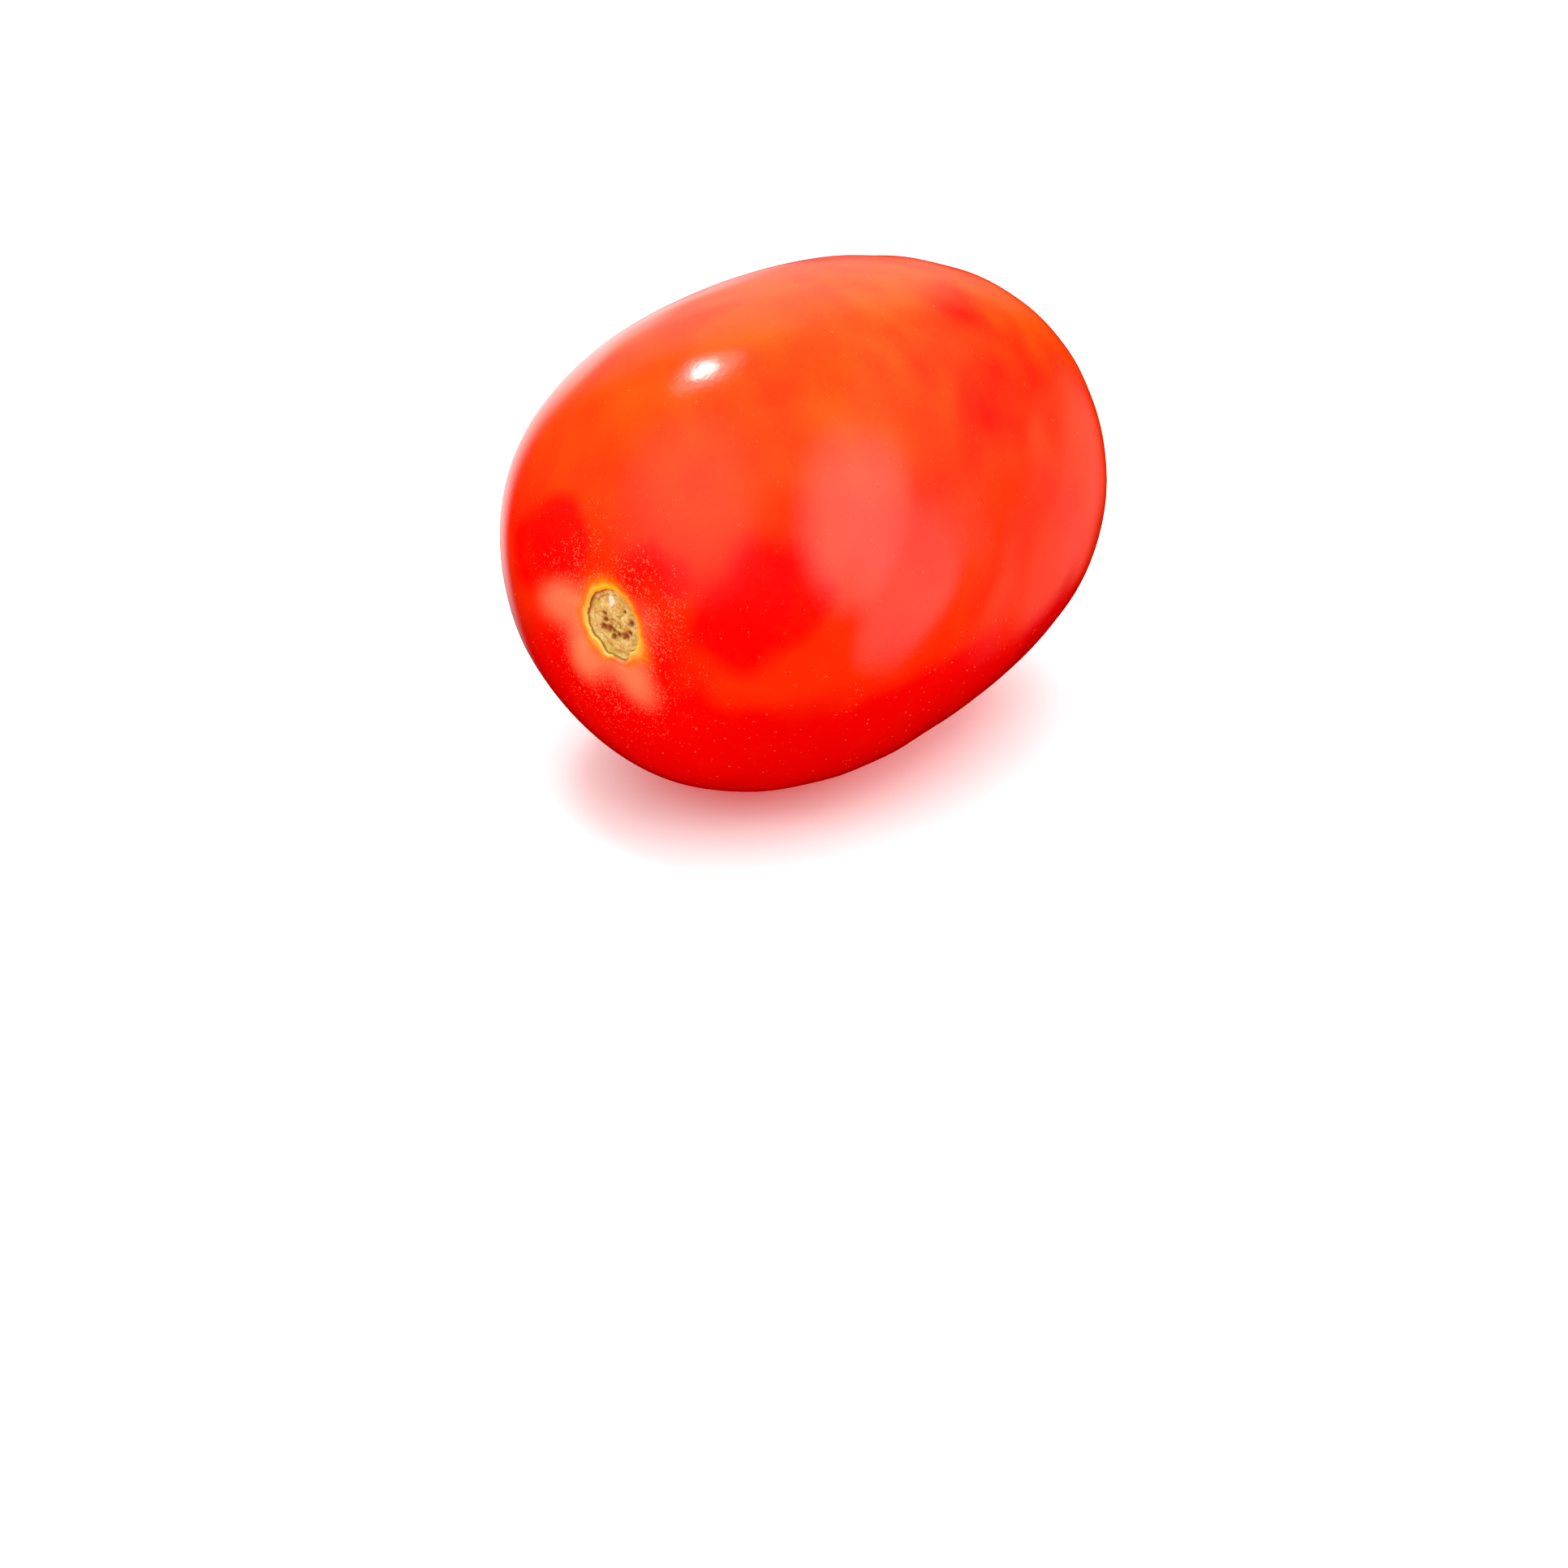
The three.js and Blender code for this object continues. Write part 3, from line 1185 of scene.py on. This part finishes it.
    def build(self) -> bpy.types.Object:
        """Makes the fruit, lays it on its rest spot and dresses it.

        Returns:
            The finished piece.
        """
        grid = self.grid()
        polar, turn = np.concatenate(grid.polar), np.concatenate(grid.turn)
        survey = Survey.of(self.body.straight(polar, turn), self.scar)
        relief = self.relief(survey)
        skin = self.body.bent(polar, turn) + relief[:, None] * self.body.normals(polar, turn)
        laid, core = self.lay_down(skin)
        self.core = Vector(core) * MILLIMETRE

        data = bpy.data.meshes.new(self.name)
        data.from_pydata((laid * MILLIMETRE).tolist(), [], grid.faces())
        data.validate()
        data.shade_smooth()
        for name, values in self.marks(survey).items():
            self._store(data, name, values)
        piece = bpy.data.objects.new(self.name, data)
        bpy.context.scene.collection.objects.link(piece)
        data.materials.append(self.skin.material())
        return piece

    def marks(self, survey: Survey) -> dict[str, Array]:
        """Works out what the finish needs to know about each point of the skin.

        Args:
            survey: Where the points are.

        Returns:
            Numbers or vectors for the points, by name.
        """
        places, angle, reach = survey.places, survey.angle, survey.reach
        speckle, stray = self.ripening_and_shade.speckle(places, angle, reach)
        return {
            "place": places,
            "scar_share": survey.share,
            "halo": self.ripening_and_shade.halo(angle, survey.gap) * survey.stem_half,
            "pale": self.ripening_and_shade.paleness(angle, reach),
            # the red mask holds painted shade on the lower side as well as the redder patches
            "red": self.ripening_and_shade.redness_and_shade(places),
            "speckle": speckle,
            "stray": stray,
            "pit": self.scar.pit_mask(survey.across) * survey.stem_half,
            "flake": self.scar.flake_mask(survey.across) * survey.stem_half,
            "tip": hump(survey.tip_reach, 0.55),
        }

    def relief(self, survey: Survey) -> Array:
        """How far the skin stands out of the plain barrel.

        Args:
            survey: Where the points are.

        Returns:
            One height for each point.
        """
        angle, reach, share, tip = survey.angle, survey.reach, survey.share, survey.tip_reach
        waves = Ripple(24.0, 0.10, 1).at(survey.places) + Ripple(8.0, 0.022, 2).at(survey.places)
        pleats = 0.11 * np.cos(5.0 * angle - math.radians(20.0)) * hump(reach - 6.5, 2.8)
        ribs = 0.03 * np.cos(13.0 * angle) * hump(reach - 4.6, 1.1)
        calm = smoothstep(share, 1.0, 1.6)
        crater = -0.22 * hump(tip, 0.5) + 0.07 * hump(tip - 0.9, 0.35)
        skin = (waves + pleats + ribs) * calm + crater
        return skin + self.scar.relief(survey.across, share) * (share < 3.0)

    def lay_down(self, skin: Array) -> tuple[Array, Array]:
        """Fits the fruit to the box of its node in the frame, and flattens it where it rests.

        Args:
            skin: Points in the fruit frame, one a row.

        Returns:
            The points in the part frame, and where the middle of the core is in it.
        """
        low, high = (np.array(corner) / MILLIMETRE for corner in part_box("tomato"))
        every_polar = np.linspace(0.0, math.pi, 181)
        every_turn = np.linspace(0.0, 2.0 * math.pi, 361)
        polar, turn = np.meshgrid(every_polar, every_turn)
        plain = self.body.bent(polar.ravel(), turn.ravel()) @ self.axes().T
        plain_low, plain_high = plain.min(axis=0), plain.max(axis=0)
        plain_low[2] += self.rest_sag
        scale = (high - low) / (plain_high - plain_low)
        offset = low - scale * plain_low
        laid = (skin @ self.axes().T) * scale + offset
        laid[:, 2] = self.pressed(laid[:, 2])
        return laid, offset

    @staticmethod
    def pressed(height: Array, softness: float = 0.22) -> Array:
        """Heights above the floor after the skin has given way to it.

        Args:
            height: Heights of the skin as it grew, in millimetres.
            softness: Height over which the skin curves into the flat spot.

        Returns:
            Heights of 0 or more.
        """
        eased = (height + softness) ** 2 / (4.0 * softness)
        return np.where(height > softness, height, np.where(height < -softness, 0.0, eased))

    @staticmethod
    def _store(data: bpy.types.Mesh, name: str, values: Array) -> None:
        """Stores a number or a vector for each vertex, for the finish to read.

        Args:
            data: The mesh.
            name: What the values are called.
            values: One number for each vertex, or one vector a row.
        """
        kind, key = ("FLOAT_VECTOR", "vector") if values.ndim == 2 else ("FLOAT", "value")
        made = data.attributes.new(name, kind, "POINT")
        made.data.foreach_set(key, values.astype(np.float32).ravel())


def direction(azimuth: float, elevation: float) -> Vector:
    """The unit vector towards degrees round from -Y to +X and degrees up.

    Args:
        azimuth: Degrees round.
        elevation: Degrees up.

    Returns:
        The vector.
    """
    turn, rise = math.radians(azimuth), math.radians(elevation)
    level = math.cos(rise)
    return Vector((math.sin(turn) * level, -math.cos(turn) * level, math.sin(rise)))


class Side(Enum):
    """Where a lamp or a glow is: degrees round the fruit from the stem end, and degrees up."""

    LEFT_ABOVE = (-93.0, 62.0)
    RIGHT = (98.0, 15.0)
    RIGHT_ABOVE = (90.0, 23.0)
    LOW_RIGHT = (116.0, -15.0)
    OVERHEAD = (30.0, 80.0)
    BEHIND = (-136.0, 20.0)
    LEFT_BEHIND = (-125.0, -12.0)
    LOW_BEHIND = (169.0, -18.0)
    FRONT_ABOVE = (-14.0, 32.0)
    FRONT = (-5.0, 22.0)
    BEYOND = (-150.0, 38.0)
    RIGHT_BEHIND = (140.0, 25.0)

    @property
    def way(self) -> Vector:
        """The unit vector that points there."""
        return direction(*self.value)


@dataclass(frozen=True)
class Lamp:
    """One soft lamp.

    Attributes:
        name: What it is called.
        side: Where it stands.
        distance: How far it is from the fruit, in metres.
        size: Its two sides, in metres.
        glow: How bright its face is; 1 is as bright as the white world.
        roll: Degrees that it is turned about its own axis.
        mirrored: True if the skin may mirror it.
    """

    name: str
    side: Side
    distance: float
    size: tuple[float, float]
    glow: float
    roll: float = 0.0
    mirrored: bool = True

    def build(self, target: Vector) -> None:
        """Makes the lamp and turns it to the target.

        Args:
            target: What it lights, in metres.
        """
        data = bpy.data.lights.new(self.name, "AREA")
        data.shape = "ELLIPSE"
        data.size, data.size_y = self.size
        area = math.pi * data.size * data.size_y / 4.0
        data.energy = self.glow * math.pi * area
        lamp = bpy.data.objects.new(self.name, data)
        lamp.location = target + self.side.way * self.distance
        lamp.rotation_euler = self.side.way.to_track_quat("Z", "Y").to_euler()
        lamp.rotation_euler.rotate_axis("Z", math.radians(self.roll))
        lamp.visible_glossy = self.mirrored
        lamp.visible_camera = False
        bpy.context.scene.collection.objects.link(lamp)


@dataclass(frozen=True)
class Glow:
    """A bright part of the studio's walls that only the skin's gloss shows.

    Attributes:
        side: Where its middle is.
        inner: Degrees from the middle at which it starts to fade.
        outer: Degrees from the middle at which it has faded.
        strength: How bright it is; 1 is as bright as the white world.
    """

    side: Side
    inner: float
    outer: float
    strength: float

    def build(self, shader: Shader, facing: Signal) -> Signal:
        """Adds its nodes.

        Args:
            shader: The world's node tree.
            facing: The way that is looked.

        Returns:
            How bright it is that way.
        """
        ways = {0: facing, 1: tuple(self.side.way)}
        turn = shader.node("VectorMath", {"operation": "DOT_PRODUCT"}, ways, "Value")
        faded, full = (math.cos(math.radians(end)) for end in (self.outer, self.inner))
        return self.strength * shader.ease(turn, faded, full)


@dataclass(frozen=True)
class Studio:
    """The pale floor, the soft light round it and the camera.

    Attributes:
        floor_half: Half the floor's side, in metres.
        floor_gap: How far the floor is below the fruit, in metres.
        floor_tone: How light the floor is.
        surround: How brightly the world lights what is matt.
        bounce: How much more it does so from below.
        horizon: Sines of the heights between which the light from below fades in.
        neighbours: Tint of the light from below, as other fruit would give it.
        azimuth: Degrees round from the stem end to the camera.
        elevation: Degrees up to the camera.
        distance: From the middle of the fruit to the camera, in metres.
        axis_azimuth: Degrees round that the camera looks from.
        axis_elevation: Degrees down that the camera looks.
        lens: Focal length in millimetres.
        sensor: Width of the camera's sensor in millimetres.
        lamps: What lights the fruit.
        glows: What the skin mirrors.
    """

    floor_half: float = 6.0
    floor_gap: float = 0.00005
    floor_tone: float = 0.92
    surround: float = 0.5
    bounce: float = 0.45
    horizon: tuple[float, float] = (0.05, -0.20)
    neighbours: Colour = (1.0, 0.02, 0.01)
    azimuth: float = 35.6
    elevation: float = 23.7
    distance: float = 0.5546
    axis_azimuth: float = 35.92
    axis_elevation: float = 26.66
    lens: float = 122.98
    sensor: float = 36.0
    lamps: tuple[Lamp, ...] = (
        Lamp("small_lamp", Side.LEFT_ABOVE, 0.6, (0.13, 0.055), 36.0, roll=-16.0),
        Lamp("lamp_bloom", Side.LEFT_ABOVE, 0.62, (0.30, 0.17), 2.2, roll=-16.0),
        Lamp("softbox", Side.RIGHT, 0.7, (0.8, 0.7), 1.2, mirrored=False),
        Lamp("overhead", Side.OVERHEAD, 8.0, (12.0, 12.0), 1.5, mirrored=False),
        Lamp("front", Side.FRONT, 0.8, (0.9, 0.8), 2.1, mirrored=False),
        Lamp("right_behind", Side.RIGHT_BEHIND, 0.9, (1.0, 1.0), 2.4, mirrored=False),
        Lamp("beyond", Side.BEYOND, 1.0, (1.4, 1.0), 2.4, mirrored=False),
    )
    glows: tuple[Glow, ...] = (
        Glow(Side.RIGHT_ABOVE, 10.0, 41.0, 2.2),
        Glow(Side.LOW_RIGHT, 5.0, 29.0, 1.15),
        Glow(Side.FRONT_ABOVE, 6.0, 44.0, 0.55),
        Glow(Side.BEHIND, 5.0, 38.0, 0.48),
        Glow(Side.LOW_BEHIND, 6.0, 24.0, 0.26),
        Glow(Side.LEFT_BEHIND, 4.0, 20.0, 1.2),
    )

    def build(self, core: Vector) -> None:
        """Makes everything round the fruit.

        Args:
            core: The middle of the fruit's core, in metres.
        """
        self._build_floor()
        self._build_world()
        for lamp in self.lamps:
            lamp.build(core)
            LOG.info("%s: %s", lamp.name, "mirrored" if lamp.mirrored else "not mirrored")
        self._build_camera(core)
        view = bpy.context.scene.view_settings
        view.view_transform = "Standard"
        view.look = "None"

    def _build_floor(self) -> None:
        """A plain pale floor, a hair below the fruit, which the skin doesn't mirror."""
        half, low = self.floor_half, -self.floor_gap
        data = bpy.data.meshes.new("floor")
        corners = [(-half, -half, low), (half, -half, low), (half, half, low), (-half, half, low)]
        data.from_pydata(corners, [], [(0, 1, 2, 3)])
        floor = bpy.data.objects.new("floor", data)
        made = bpy.data.materials.new("pale_floor")
        made.use_nodes = True
        surface = made.node_tree.nodes["Principled BSDF"]
        surface.inputs["Base Color"].default_value = (*(self.floor_tone,) * 3, 1.0)
        surface.inputs["Roughness"].default_value = 0.9
        surface.inputs["Specular IOR Level"].default_value = 0.1
        data.materials.append(made)
        floor.visible_glossy = False
        floor.visible_diffuse = False
        bpy.context.scene.collection.objects.link(floor)
        LOG.info("floor: %.1f m square", 2.0 * half)

    def _build_world(self) -> None:
        """White for the eye, soft light for what is matt, and the glows for what is glossy."""
        world = bpy.data.worlds.new("studio")
        world.use_nodes = True
        world.cycles.sampling_method = "NONE"
        bpy.context.scene.world = world
        shader = Shader(world.node_tree)
        facing = shader.node("TexCoord", output="Generated")
        under = shader.ease(shader.part(facing, "Z"), *self.horizon)
        mirrored: Number = 0.0
        for glow in self.glows:
            mirrored = mirrored + glow.build(shader, facing)
        eye, gloss, matt = (
            shader.node("LightPath", output=f"Is {kind} Ray")
            for kind in ("Camera", "Glossy", "Diffuse")
        )
        lighting = matt * (self.surround + under * self.bounce)
        light = shader.node(
            "Background",
            {},
            {
                "Color": shader.mix(under * matt, (1.0, 1.0, 1.0), self.neighbours),
                "Strength": eye + gloss * mirrored + lighting,
            },
        )
        shader.finish("OutputWorld", light)

    def _build_camera(self, core: Vector) -> None:
        """A long lens that looks down on the fruit and a little below it.

        Args:
            core: The middle of the fruit's core, in metres.
        """
        data = bpy.data.cameras.new("camera")
        data.lens = self.lens
        data.sensor_width = self.sensor
        camera = bpy.data.objects.new("camera", data)
        camera.location = core + direction(self.azimuth, self.elevation) * self.distance
        tilt = math.radians(90.0 - self.axis_elevation)
        camera.rotation_euler = (tilt, 0.0, math.radians(self.axis_azimuth))
        bpy.context.scene.collection.objects.link(camera)
        bpy.context.scene.camera = camera


def main() -> None:
    """Builds the fruit and the studio round it."""
    logging.basicConfig(level=logging.INFO, format="%(name)s: %(message)s")
    fruit = Tomato()
    piece = fruit.build()
    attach(piece, "root")
    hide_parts("tomato")
    counts = len(piece.data.vertices), len(piece.data.polygons)
    LOG.info("%s: %d vertices, %d faces", piece.name, *counts)
    Studio().build(fruit.core)


if __name__ == "__main__":
    main()
